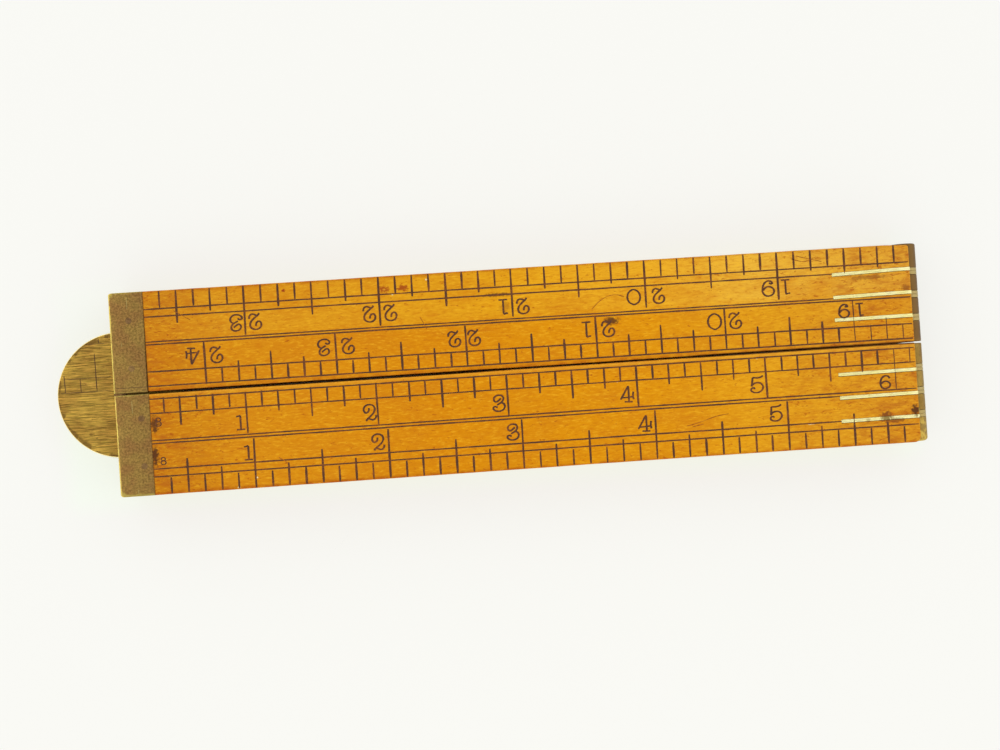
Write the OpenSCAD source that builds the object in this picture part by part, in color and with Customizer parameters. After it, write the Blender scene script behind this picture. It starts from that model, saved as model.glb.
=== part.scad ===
// Four-fold folding rule, folded up: legs 2 and 3 lie side by side, legs 1 and 4 lie on top of them.
// +X runs along the legs from the head joint to the knuckle joints, +Z is up, and the origin is at
// the centre of the underside. Legs 1 and 2 are on the -Y side, legs 3 and 4 on the +Y side.

/* [Legs] */
// Length of one inch of the rule's main scale; a leg is six of them from pivot to pivot
scale_inch = 26.154; // [24:0.001:27]
// Width of each leg
leg_w = 19.5; // [18:0.1:24]
// Thickness of each leg
leg_t = 4.6; // [4.4:0.1:6]
// Gap between the legs that lie side by side
side_gap = 0.35; // [0.2:0.05:0.8]
// Gap between the two layers of the folded rule
layer_gap = 0.15; // [0.1:0.05:0.4]
// Distance that each end of a leg keeps from the pivot line
end_gap = 0.1; // [0.05:0.01:0.2]
// Radius of the outer corner at the knuckle end of a leg
corner_r = 0.9; // [0.2:0.1:2]

/* [Brass tips] */
// Length of the tips on the free ends of legs 1 and 4
tip_l = 6.6; // [6:0.1:10]
// Thickness of the sheet that a tip is folded from
tip_sheet = 0.7; // [0.4:0.05:0.9]
// Radius of the pins that hold the tips
tip_pin_r = 0.6; // [0.4:0.05:0.8]
// Distance of leg 1's tip pins from the end of the tip
leg_1_tip_pin_x = 4.9; // [2:0.1:5]
// Distance of leg 4's tip pins from the end of the tip
leg_4_tip_pin_x = 3.6; // [2:0.1:5]

/* [Head joint] */
// Radius of the round brass head
head_r = 12.4; // [11:0.1:13]
// Thickness of each cheek
cheek_t = 1.35; // [1.2:0.05:1.4]
// Thickness of each friction washer
washer_t = 0.12; // [0.1:0.01:0.2]
// How far the washers stay inside the edge of the head
washer_inset = 0.4; // [0.2:0.1:1]
// Width of the tangs that run into the wood
tang_w = 7; // [6:0.1:8]
// Thickness of the cheeks' tangs
tang_t = 0.6; // [0.4:0.05:0.8]
// Distance of the tangs' middle line from the pivot line
tang_y = 5.9; // [5.5:0.1:6.5]
// Distance from the pivot to the ends of the tangs
tang_end = 30; // [28:0.5:40]
// Radius of the centre rivet
rivet_r = 1.3; // [1:0.1:2]
// Radius of the pins through the tangs
head_pin_r = 0.8; // [0.5:0.05:1]

/* [Knuckle joints] */
// Radius of the roll
roll_r = 2.7; // [2.2:0.05:3]
// Radius of the hinge pin
hinge_pin_r = 0.8; // [0.5:0.05:1]
// Thickness of the plates let into the wood
plate_t = 0.65; // [0.5:0.05:0.8]
// Length of a plate from the hinge pin to its end in the wood
plate_l = 15.55; // [14:0.05:20]
// Distance between neighbouring plates of one leg
plate_pitch = 4.6; // [4:0.1:5]
// Radius of the cross pins through wood and plates
cross_pin_r = 0.5; // [0.3:0.05:0.7]

/* [Fits] */
// Radial play of a pin in the pieces that it holds
fit = 0.01; // [0.01:0.005:0.02]
// Running clearance in the joints
run = 0.03; // [0.02:0.01:0.04]
// Clearance between the wood and the round heads and rolls
relief = 0.12; // [0.08:0.01:0.2]
// Clearance of the saw kerfs around plates and tangs
kerf = 0.04; // [0.01:0.01:0.06]

/* [Hidden] */

$fn = 96;
leg_l = 6 * scale_inch;
head_x = (head_r - leg_l - roll_r) / 2;
knuckle_x = head_x + leg_l;
inner_y = side_gap / 2;
top_z = leg_t + layer_gap;
knuckle_z = leg_t + layer_gap / 2;

// The head, from the underside up: cheek, washer, tongue, washer, cheek
tongue_z = cheek_t + washer_t + 2 * run;
tongue_t = leg_t - 2 * tongue_z;
head_pin_x = [17, 25.5];

// The tips' pins, as distances from the inner edge of the leg
tip_pin_y = [4.7, 14];
// The cross pins, as distances from the knuckle axis
cross_pin_x = [4.4, 11.5];

// The roll, from the inner edge of the leg outwards: each bottom plate has a top plate beside it
function top_plate_y(i) = leg_w / 2 + (i - 1) * plate_pitch;
function bottom_plate_y(i) = top_plate_y(i) - plate_t - run;
// Barrels 1 and 3 turn with the bottom leg, barrels 2 and 4 with the top leg
barrel_span = [
    [0, bottom_plate_y(0) - plate_t / 2],
    [top_plate_y(0) + plate_t / 2, bottom_plate_y(1) - plate_t / 2 - run],
    [top_plate_y(1) + plate_t / 2 + run, bottom_plate_y(2) - plate_t / 2],
    [top_plate_y(2) + plate_t / 2, leg_w]
];
barrel_edge = 0.12;
over = 1;

wood_colour = [0.85, 0.6, 0.18];
tip_colour = [0.58, 0.48, 0.24];
head_colour = [0.62, 0.52, 0.24];
plate_colour = [0.88, 0.84, 0.5];
roll_colour = [0.5, 0.42, 0.24];
pin_colour = [0.5, 0.45, 0.35];

// Puts what is drawn for the +Y side on the side asked for: 1 or -1
module on_side(side) {
    if (side > 0) children();
    else mirror([0, 1, 0]) children();
}

// A rod along Y, from the inner edge of a leg to its outer edge, at a place along X and Z
module cross_rod(x, z, r, extra = 0) {
    translate([x, inner_y - extra, z])
        rotate([-90, 0, 0]) cylinder(r = r, h = leg_w + 2 * extra);
}

// Plan of a leg with its outer knuckle corner rounded
module leg_plan() {
    length = leg_l - 2 * end_gap;
    translate([head_x + end_gap, inner_y]) {
        square([length - corner_r, leg_w]);
        square([length, leg_w - corner_r]);
        translate([length - corner_r, leg_w - corner_r]) circle(corner_r);
    }
}

// Slots for the three knuckle plates of a leg whose underside is at z
module plate_kerfs(z, ys) {
    for (y = ys)
        translate([knuckle_x - plate_l - kerf, inner_y + y - plate_t / 2 - kerf, z - over])
            cube([plate_l + over, plate_t + 2 * kerf, leg_t + 2 * over]);
}

// Wood of a leg from z upwards, shaped for its knuckle
module leg_wood(z, ys) {
    difference() {
        translate([0, 0, z]) linear_extrude(leg_t) leg_plan();
        cross_rod(knuckle_x, knuckle_z, roll_r + relief, over);
        plate_kerfs(z, ys);
        for (x = cross_pin_x)
            cross_rod(knuckle_x - x, z + leg_t / 2, cross_pin_r + fit, over);
    }
}

function top_plates() = [for (i = [0:2]) top_plate_y(i)];
function bottom_plates() = [for (i = [0:2]) bottom_plate_y(i)];

// Two rods through a tip, from face to face
module tip_rods(pin_x, r, extra = 0) {
    for (y = tip_pin_y)
        translate([head_x + end_gap + pin_x, inner_y + y, top_z - extra])
            cylinder(r = r, h = leg_t + 2 * extra);
}

// A top leg: its free end is rebated for the tip
module top_leg(side, pin_x) {
    color(wood_colour) on_side(side)
    difference() {
        leg_wood(top_z, top_plates());
        translate([head_x, 0, top_z - over]) cube([end_gap + tip_sheet, 2 * leg_w, leg_t + 2 * over]);
        for (z = [top_z - over, top_z + leg_t - tip_sheet])
            translate([head_x, 0, z]) cube([end_gap + tip_l, 2 * leg_w, tip_sheet + over]);
        tip_rods(pin_x, tip_pin_r + fit, over);
    }
}

// A brass tip, folded over the end of a top leg
module tip(side, pin_x) {
    color(tip_colour) on_side(side)
    difference() {
        translate([head_x + end_gap, inner_y, top_z]) cube([tip_l, leg_w, leg_t]);
        translate([head_x + end_gap + tip_sheet, 0, top_z + tip_sheet])
            cube([tip_l, 2 * leg_w, leg_t - 2 * tip_sheet]);
        tip_rods(pin_x, tip_pin_r + fit, over);
    }
}

module tip_pins(side, pin_x) {
    color(pin_colour) on_side(side) tip_rods(pin_x, tip_pin_r);
}

// A rod up through the head at the pivot
module pivot_rod(z, r, h) {
    translate([head_x, 0, z]) cylinder(r = r, h = h);
}

// Plan of a tang: it starts inside the head's disc and has a round end
module tang_plan(grow = 0) {
    start = 0.6 * head_r;
    end = tang_end - tang_w / 2;
    translate([head_x + start, tang_y - tang_w / 2 - grow]) square([end - start, tang_w + 2 * grow]);
    translate([head_x + end, tang_y]) circle(tang_w / 2 + grow);
}

// Two rods through a leg and its tangs
module head_rods(r, extra = 0) {
    for (x = head_pin_x)
        translate([head_x + x, tang_y, -extra]) cylinder(r = r, h = leg_t + 2 * extra);
}

// A slot in the wood for a tang
module tang_kerf(z, t) {
    translate([0, 0, z - kerf]) linear_extrude(t + 2 * kerf) tang_plan(kerf);
}

// A disc of the head with its tang
module head_leaf(disc_z, disc_t, tang_z, leaf_tang_t, bore_r) {
    difference() {
        union() {
            pivot_rod(disc_z, head_r, disc_t);
            translate([0, 0, tang_z]) linear_extrude(leaf_tang_t) tang_plan();
        }
        pivot_rod(-over, bore_r, leg_t + 2 * over);
        head_rods(head_pin_r + fit, over);
    }
}

// A bottom leg, cut round the head and slotted for the tangs drawn as its children
module bottom_leg(side) {
    color(wood_colour) on_side(side)
    difference() {
        leg_wood(0, bottom_plates());
        pivot_rod(-over, head_r + relief, leg_t + 2 * over);
        children();
        head_rods(head_pin_r + fit, over);
    }
}

module leg_1() top_leg(-1, leg_1_tip_pin_x);
module leg_2() bottom_leg(-1) tang_kerf(tongue_z, tongue_t);
module leg_3() bottom_leg(1) {
    tang_kerf(cheek_t - tang_t, tang_t);
    tang_kerf(leg_t - cheek_t, tang_t);
}
module leg_4() top_leg(1, leg_4_tip_pin_x);

// The cheeks are fixed to leg 3, with the tangs on their inner faces
module head_cheek_top() {
    color(head_colour)
        head_leaf(leg_t - cheek_t, cheek_t, leg_t - cheek_t, tang_t, rivet_r + fit);
}

module head_cheek_bottom() {
    color(head_colour) head_leaf(0, cheek_t, cheek_t - tang_t, tang_t, rivet_r + fit);
}

// The tongue is fixed to leg 2 and turns between the cheeks
module head_tongue() {
    color(head_colour) on_side(-1)
        head_leaf(tongue_z, tongue_t, tongue_z, tongue_t, rivet_r + run);
}

module head_washer(z) {
    color(pin_colour)
    difference() {
        pivot_rod(z, head_r - washer_inset, washer_t);
        pivot_rod(z - over, rivet_r + run, washer_t + 2 * over);
    }
}

module head_washer_bottom() head_washer(cheek_t + run);
module head_washer_top() head_washer(leg_t - cheek_t - washer_t - run);

module head_rivet() {
    color(pin_colour) pivot_rod(0, rivet_r, leg_t);
}

module head_pins(side) {
    color(pin_colour) on_side(side) head_rods(head_pin_r);
}

// A knuckle plate of a leg whose underside is at z: a blade in the wood with an eye on the roll
module knuckle_plate(side, z, y, bore_r) {
    color(plate_colour) on_side(side)
    difference() {
        translate([0, inner_y + y - plate_t / 2, 0]) {
            translate([knuckle_x - plate_l, 0, z]) cube([plate_l, plate_t, leg_t]);
            translate([knuckle_x, 0, knuckle_z]) rotate([-90, 0, 0]) cylinder(r = roll_r, h = plate_t);
        }
        cross_rod(knuckle_x, knuckle_z, bore_r, over);
        for (x = cross_pin_x)
            cross_rod(knuckle_x - x, z + leg_t / 2, cross_pin_r + fit, over);
    }
}

// The hinge pin is fixed in the bottom leg's pieces and runs in the top leg's
module top_plate(side, i) knuckle_plate(side, top_z, top_plate_y(i), hinge_pin_r + run);
module bottom_plate(side, i) knuckle_plate(side, 0, bottom_plate_y(i), hinge_pin_r + fit);

// One barrel of the roll
module barrel(side, i) {
    ends = barrel_span[i];
    bore_r = hinge_pin_r + (i % 2 == 0 ? fit : run);
    color(roll_colour) on_side(side)
    translate([knuckle_x, inner_y, knuckle_z])
        rotate([-90, 0, 0])
            rotate_extrude()
                polygon([
                    [bore_r, ends[0]],
                    [roll_r - barrel_edge, ends[0]],
                    [roll_r, ends[0] + barrel_edge],
                    [roll_r, ends[1] - barrel_edge],
                    [roll_r - barrel_edge, ends[1]],
                    [bore_r, ends[1]]
                ]);
}

module hinge_pin(side) {
    color(pin_colour) on_side(side) cross_rod(knuckle_x, knuckle_z, hinge_pin_r);
}

// Two pins through a leg whose underside is at z, and through its knuckle plates
module cross_pins(side, z) {
    color(pin_colour) on_side(side)
    for (x = cross_pin_x)
        cross_rod(knuckle_x - x, z + leg_t / 2, cross_pin_r);
}

leg_1();
leg_2();
leg_3();
leg_4();
tip(-1, leg_1_tip_pin_x);  // leg_1_tip
tip(1, leg_4_tip_pin_x);  // leg_4_tip
tip_pins(-1, leg_1_tip_pin_x);  // leg_1_tip_pins
tip_pins(1, leg_4_tip_pin_x);  // leg_4_tip_pins
head_cheek_top();
head_cheek_bottom();
head_tongue();
head_washer_top();
head_washer_bottom();
head_rivet();
head_pins(-1);  // leg_2_head_pins
head_pins(1);  // leg_3_head_pins
for (i = [0:2]) {
    top_plate(-1, i);
    bottom_plate(-1, i);
    bottom_plate(1, i);
    top_plate(1, i);
}
for (i = [0:3]) {
    barrel(-1, i);
    barrel(1, i);
}
hinge_pin(-1);  // knuckle_a_pin
hinge_pin(1);  // knuckle_b_pin
cross_pins(-1, top_z);  // leg_1_cross_pins
cross_pins(-1, 0);  // leg_2_cross_pins
cross_pins(1, 0);  // leg_3_cross_pins
cross_pins(1, top_z);  // leg_4_cross_pins
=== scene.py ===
"""Looks of a four-fold boxwood rule, folded up. Lengths here are in millimetres until a mesh is made."""

import math
import random

import bmesh
import bpy
from mathutils import Matrix, Vector, noise


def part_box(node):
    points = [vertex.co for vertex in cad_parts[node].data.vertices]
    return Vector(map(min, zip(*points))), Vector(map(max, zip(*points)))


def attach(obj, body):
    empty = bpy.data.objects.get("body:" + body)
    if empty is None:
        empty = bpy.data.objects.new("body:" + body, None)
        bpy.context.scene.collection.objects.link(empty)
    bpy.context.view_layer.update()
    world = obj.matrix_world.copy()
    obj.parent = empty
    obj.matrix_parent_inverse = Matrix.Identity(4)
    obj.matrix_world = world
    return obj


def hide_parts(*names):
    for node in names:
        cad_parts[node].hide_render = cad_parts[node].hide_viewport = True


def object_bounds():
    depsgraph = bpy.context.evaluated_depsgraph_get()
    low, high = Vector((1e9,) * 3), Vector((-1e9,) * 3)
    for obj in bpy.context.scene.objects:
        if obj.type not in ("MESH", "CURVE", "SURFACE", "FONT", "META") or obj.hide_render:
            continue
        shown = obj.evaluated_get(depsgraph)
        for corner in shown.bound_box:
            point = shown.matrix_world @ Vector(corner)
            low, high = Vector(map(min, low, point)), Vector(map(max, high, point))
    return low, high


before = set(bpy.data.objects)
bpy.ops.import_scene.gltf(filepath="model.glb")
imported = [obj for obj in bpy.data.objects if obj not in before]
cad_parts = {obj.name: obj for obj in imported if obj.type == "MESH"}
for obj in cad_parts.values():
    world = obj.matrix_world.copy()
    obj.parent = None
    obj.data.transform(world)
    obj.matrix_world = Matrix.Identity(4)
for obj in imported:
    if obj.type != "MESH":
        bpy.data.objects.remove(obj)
cad_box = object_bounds()

MM = 0.001
chance = random.Random(24)


def span(node):
    """Lowest and highest corner of a CAD node, in millimetres."""
    low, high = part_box(node)
    return low / MM, high / MM


def centre_of(node):
    return sum(span(node), Vector()) / 2


def extent(node, axis):
    """Size of a CAD node along one axis."""
    low, high = span(node)
    return high[axis] - low[axis]


# ---- places, from the CAD nodes

PIVOT = centre_of("head_rivet")
KNUCKLE_X = centre_of("knuckle_a_pin").x
KNUCKLE_Z = centre_of("knuckle_a_pin").z
LEG_LENGTH = KNUCKLE_X - PIVOT.x
WOOD_START, WOOD_END = [corner.x for corner in span("leg_2")]
INNER, OUTER = [corner.y for corner in span("leg_4")]
TOP = span("leg_4")[1].z
ROLL_R = extent("knuckle_a_barrel_1", 2) / 2
HINGE_PIN_R = extent("knuckle_a_pin", 2) / 2
PLATE_HALF = extent("leg_1_plate_1", 1) / 2
HEAD_R = extent("head_cheek_top", 1) / 2
HEAD_TOP = span("head_cheek_top")[1].z
CHEEK_T = extent("head_cheek_top", 2)
TONGUE_Z = span("head_tongue")[0].z
TONGUE_T = extent("head_tongue", 2)
TIP_REACH = span("leg_4_tip")[1].x - PIVOT.x
TIP_END = PIVOT.x + TIP_REACH

SIDE = {1: -1, 2: -1, 3: 1, 4: 1}
LEG_Z = {leg: [corner.z for corner in span(f"leg_{leg}")] for leg in SIDE}
TOP_LEGS = (1, 4)

# ---- sizes of small features

TIP_SHEET = 0.7
TIP_FOLD_R = 0.42
TIP_CORNER_R = 0.55
TIP_PIN_X = {1: 4.9, 4: 3.6}
TIP_PIN_Y = (4.7, 14.0)
TIP_PIN_R = 0.6
TANG_Y = 5.9
TANG_W = 7.0
TANG_T = 0.6
TANG_START = 0.6 * HEAD_R
TANG_END = 30.0
HEAD_PIN_X = (17.0, 25.5)
HEAD_PIN_R = 0.8
RIVET_R = 1.3
CROSS_PIN_X = (4.4, 11.5)
CROSS_PIN_R = 0.5
PLATE_LENGTH = 15.55
# Gaps round tight and turning pins, round the head and the rolls, and beside tangs and plates
FIT = 0.01
RUN = 0.03
RELIEF = 0.12
KERF = 0.04
WIDE_KERF = 0.1
# Cutters reach this far past what they cut
PAST = 1.0
# Rounded edges, as widths or radii, of the tips, the plates, the head's cheeks and the barrels
TIP_EDGE = 0.11
PLATE_EDGE = 0.13
CHEEK_EDGE = 0.16
BARREL_EDGE = 0.12
# Corners of round shapes
HOLE_STEPS = 32
PIN_STEPS = 48
ROLL_STEPS = 96
RECESS_STEPS = 160
DISC_STEPS = 192
# How much each top plate leans across the leg, per millimetre of its length
PLATE_LEAN = {1: (0.0084, 0.0084, 0.0064), 4: (0.0, 0.0135, 0.0228)}


# ---- meshes

def make_mesh(name, verts, faces):
    """A mesh object from points in millimetres, with its faces turned outwards."""
    mesh = bpy.data.meshes.new(name)
    mesh.from_pydata([Vector(v) * MM for v in verts], [], faces)
    shape = bmesh.new()
    shape.from_mesh(mesh)
    bmesh.ops.recalc_face_normals(shape, faces=shape.faces)
    shape.to_mesh(mesh)
    shape.free()
    piece = bpy.data.objects.new(name, mesh)
    bpy.context.scene.collection.objects.link(piece)
    return piece


def skin(rings, closed=False):
    """Points and faces through rings of equal length; closed joins the last ring to the first."""
    count = len(rings[0])
    faces = []
    for row in range(len(rings) if closed else len(rings) - 1):
        here = row * count
        after = (row + 1) % len(rings) * count
        for i in range(count):
            j = (i + 1) % count
            faces.append((here + i, here + j, after + j, after + i))
    return [point for ring in rings for point in ring], faces


def loft(rings):
    """Points and faces of a solid through rings of equal length, with flat ends."""
    verts, faces = skin(rings)
    count = len(rings[0])
    return verts, [tuple(range(count)), *faces, tuple(range(len(verts) - count, len(verts)))]


def joined(solids):
    """Several solids as one set of points and faces."""
    verts = []
    faces = []
    for solid_verts, solid_faces in solids:
        base = len(verts)
        verts += solid_verts
        faces += [tuple(base + i for i in face) for face in solid_faces]
    return verts, faces


def prism(outline, low, high):
    """A solid over an outline in plan, between two heights."""
    return loft([[(x, y, z) for x, y in outline] for z in (low, high)])


def circle(x, y, radius, count=64, start=0.0, sweep=360.0):
    """Points of an arc; a full circle leaves out its last point."""
    steps = count if sweep == 360.0 else count - 1
    angles = [math.radians(start + sweep * i / steps) for i in range(count)]
    return [(x + radius * math.cos(a), y + radius * math.sin(a)) for a in angles]


def rod_z(x, y, radius, low, high, count):
    return prism(circle(x, y, radius, count), low, high)


def rod_y(x, z, radius, low, high, count):
    ring = circle(x, z, radius, count)
    return loft([[(px, y, pz) for px, pz in ring] for y in (low, high)])


def apply_modifiers(piece):
    """Makes the modifiers' result the piece's own mesh."""
    graph = bpy.context.evaluated_depsgraph_get()
    mesh = bpy.data.meshes.new_from_object(piece.evaluated_get(graph))
    piece.modifiers.clear()
    piece.data = mesh


def cut(piece, *groups):
    """Cuts groups of solids out of a piece; the solids of one group don't touch each other."""
    for group in groups:
        cutter = make_mesh("cutter", *joined(group))
        modifier = piece.modifiers.new("cut", "BOOLEAN")
        modifier.operation = "DIFFERENCE"
        modifier.solver = "EXACT"
        modifier.object = cutter
        apply_modifiers(piece)
        bpy.data.objects.remove(cutter)


def bevel(piece, width, angle):
    modifier = piece.modifiers.new("bevel", "BEVEL")
    modifier.width = width * MM
    modifier.segments = 3
    modifier.limit_method = "ANGLE"
    modifier.angle_limit = math.radians(angle)
    apply_modifiers(piece)


# Faces that meet at a sharper angle than this keep a hard edge
SHARP_ANGLE = math.radians(32)


def finish_piece(piece, body, slot, material, *nodes):
    """Shading, material and body of a piece, and the CAD nodes that it stands for; the slot is not used."""
    piece.data.shade_smooth()
    piece.data.set_sharp_from_angle(angle=SHARP_ANGLE)
    piece.data.materials.clear()
    piece.data.materials.append(material)
    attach(piece, body)
    if nodes:
        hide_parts(*nodes)


# ---- materials

def tone(red, green, blue):
    """A screen colour, 0 to 255, as linear light."""
    parts = [value / 255 for value in (red, green, blue)]
    return (*[p / 12.92 if p <= 0.04045 else ((p + 0.055) / 1.055) ** 2.4 for p in parts], 1.0)


class Graph:
    """The node tree of a material or a world, with short calls for the nodes used here."""

    def __init__(self, owner):
        self.owner = owner
        owner.use_nodes = True
        self.tree = owner.node_tree

    def put(self, socket, value):
        if isinstance(value, bpy.types.NodeSocket):
            self.tree.links.new(value, socket)
        else:
            socket.default_value = value

    def node(self, kind, inputs, output=0, **settings):
        made = self.tree.nodes.new("ShaderNode" + kind)
        for key, value in settings.items():
            setattr(made, key, value)
        for key, value in inputs.items():
            self.put(made.inputs[key], value)
        return made.outputs[output]

    def place(self):
        """Where a point of the piece is, in millimetres in the frame at rest."""
        return self.scaled(self.node("TexCoord", {}, "Object"), 1 / MM)

    def scaled(self, vector, factor):
        return self.node("VectorMath", {0: vector, "Scale": factor}, operation="SCALE")

    def split(self, vector):
        return self.node("SeparateXYZ", {0: vector}).node.outputs

    def math(self, operation, a, b=0.0):
        return self.node("Math", {0: a, 1: b}, operation=operation)

    def plus(self, a, b):
        return self.math("ADD", a, b)

    def times(self, a, b):
        return self.math("MULTIPLY", a, b)

    def most(self, first, *others):
        for other in others:
            first = self.math("MAXIMUM", first, other)
        return first

    def vector(self, operation, a, b):
        return self.node("VectorMath", {0: a, 1: b}, operation=operation)

    def length(self, vector):
        return self.node("VectorMath", {0: vector}, 1, operation="LENGTH")

    def noise(self, where, stretch, detail=3.0, roughness=0.55, offset=0.0, distortion=0.0):
        """Noise whose stretch is in cycles per millimetre, one number or one each for X, Y and Z."""
        if isinstance(stretch, float):
            stretch = (stretch,) * 3
        moved = self.vector("ADD", self.vector("MULTIPLY", where, stretch), (offset,) * 3)
        values = {"Vector": moved, "Scale": 1.0, "Detail": detail, "Roughness": roughness,
                  "Distortion": distortion}
        return self.node("TexNoise", values)

    def remap(self, value, low, high, to_low=0.0, to_high=1.0):
        values = {0: value, 1: low, 2: high, 3: to_low, 4: to_high}
        return self.node("MapRange", values, interpolation_type="SMOOTHSTEP")

    def mix(self, factor, a, b):
        return self.node("Mix", {0: factor, 6: a, 7: b}, 2, data_type="RGBA")

    def tint(self, colour, other, value, low, high, most=1.0):
        """Lays a screen colour over another colour, more of it as a value goes from low to high."""
        return self.mix(self.remap(value, low, high, 0.0, most), colour, tone(*other))

    def ramp(self, value, stops):
        colour = self.node("ValToRGB", {0: value})
        points = colour.node.color_ramp.elements
        while len(points) < len(stops):
            points.new(0.5)
        for point, (position, stop_colour) in zip(points, stops):
            point.position = position
            point.color = stop_colour
        return colour

    def spot(self, where, centre, size, wobble):
        """One inside an oval spot with a ragged edge, and zero outside it."""
        away = self.vector("DIVIDE", self.vector("SUBTRACT", where, centre), size)
        return self.remap(self.plus(self.length(away), wobble), 1.25, 0.45)

    def bump(self, height, strength):
        return self.node("Bump", {"Height": height, "Strength": strength, "Distance": 0.02 * MM})

    def finish(self, **values):
        """The material, with these values on its shader."""
        shader = self.tree.nodes["Principled BSDF"]
        for name, value in values.items():
            self.put(shader.inputs[name.replace("_", " ")], value)
        return self.owner


def new_graph(name):
    return Graph(bpy.data.materials.new(name))


# Boxwood's colour along a leg, 0 at the tip and 1 at the knuckle: the paler half and the deeper half
PALE_WOOD = ((0.0, 186, 116, 18), (0.14, 206, 142, 26), (0.5, 216, 153, 20), (0.68, 222, 162, 33),
             (0.8, 224, 172, 54), (1.0, 210, 152, 46))
DEEP_WOOD = ((0.0, 180, 110, 16), (0.14, 204, 134, 16), (0.4, 207, 132, 6), (0.66, 212, 140, 6),
             (0.82, 214, 150, 22), (1.0, 206, 142, 32))
BLACK = (0.0, 0.0, 0.0, 1.0)
WHITE = (1.0, 1.0, 1.0, 1.0)
DARK_STAIN = tone(72, 40, 26)
RED_STAIN = tone(148, 54, 20)
BROWN_STAIN = tone(120, 66, 30)
BARE_SPOT = tone(214, 150, 36)
WHITE_SPECK = tone(240, 225, 170)
# Stains on the top faces: distance from the pivot, distance from the middle, length, width, strength
STAINS = [
    (DARK_STAIN, [(7.5, -6.2, 0.9, 1.6, 0.85), (7.2, -12.3, 0.75, 2.0, 0.9),
                  (97.4, 8.0, 1.7, 0.75, 0.85), (75.5, 14.6, 3.0, 0.4, 0.8)]),
    (RED_STAIN, [(53.5, 17.1, 1.0, 0.75, 0.8), (57.1, 17.1, 1.15, 0.6, 0.85),
                 (34.0, 18.1, 0.4, 0.32, 0.95)]),
    (BARE_SPOT, [(53.5, 17.1, 0.3, 0.25, 0.7)]),
    (BROWN_STAIN, [(76.8, 12.2, 1.0, 1.0, 0.35), (148.5, 13.3, 3.8, 0.5, 0.55),
                   (155.8, 10.8, 0.9, 0.6, 0.6)]),
    (WHITE_SPECK, [(23.0, -19.5, 0.25, 0.2, 0.9), (26.6, -17.8, 0.18, 0.18, 0.9),
                   (55.1, 16.0, 0.18, 0.15, 0.9), (61.8, 18.5, 0.2, 0.2, 0.8),
                   (72.0, 18.2, 0.18, 0.3, 0.8), (97.8, -3.9, 0.16, 0.16, 0.9),
                   (135.4, -14.7, 0.8, 0.15, 0.7), (125.5, -1.1, 0.16, 0.16, 0.9)]),
]
# Stains that lie on the wood and on the brass plates let into it
PLATE_STAINS = [
    (BROWN_STAIN, [(150.3, -14.3, 1.2, 1.2, 0.9), (152.2, -15.1, 2.0, 0.5, 0.7),
                   (146.6, -14.75, 0.5, 0.5, 0.5)]),
    (DARK_STAIN, [(156.1, -13.4, 0.9, 1.3, 0.9)]),
]


def stained(g, here, colour, stains):
    """The colour with ragged oval stains laid over it."""
    wobble = g.remap(g.noise(here, 1.7, 5.0, offset=1.0), 0.25, 0.75, -0.42, 0.42)
    for stain, places in stains:
        for from_pivot, across, long, wide, strength in places:
            mask = g.spot(here, (PIVOT.x + from_pivot, across, TOP), (long, wide, 1.0), wobble)
            colour = g.mix(g.times(mask, strength), colour, stain)
    return colour


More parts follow.
